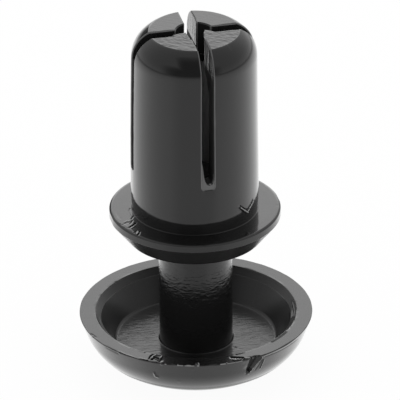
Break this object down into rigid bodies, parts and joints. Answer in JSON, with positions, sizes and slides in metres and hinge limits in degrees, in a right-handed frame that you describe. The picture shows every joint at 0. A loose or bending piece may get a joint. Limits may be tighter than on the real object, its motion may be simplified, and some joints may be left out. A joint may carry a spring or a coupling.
{
  "type": "push rivet",
  "caption": "Two-piece plastic push rivet: a slotted expanding socket with a flange, and a domed, recessed pin pressed up into it.",
  "frame": {"origin": "centre of the small flat land on the crown of the pin's head, on which the rivet stands", "axes": "+Z along the common axis of pin and socket, from the head to the finger tips; the socket's slots lie along X and Y"},
  "size_m": [0.0118, 0.0118, 0.0188],
  "materials": {
    "black_plastic": "moulded gloss"
  },
  "bodies": {
    "pin": {"pin": "black_plastic"},
    "socket": {"socket": "black_plastic"}
  },
  "joints": [
    {"name": "pin_press", "type": "slide", "parent": "pin", "child": "socket", "axis": [0, 0, -1], "range_m": [0, 0.00595]}
  ]
}
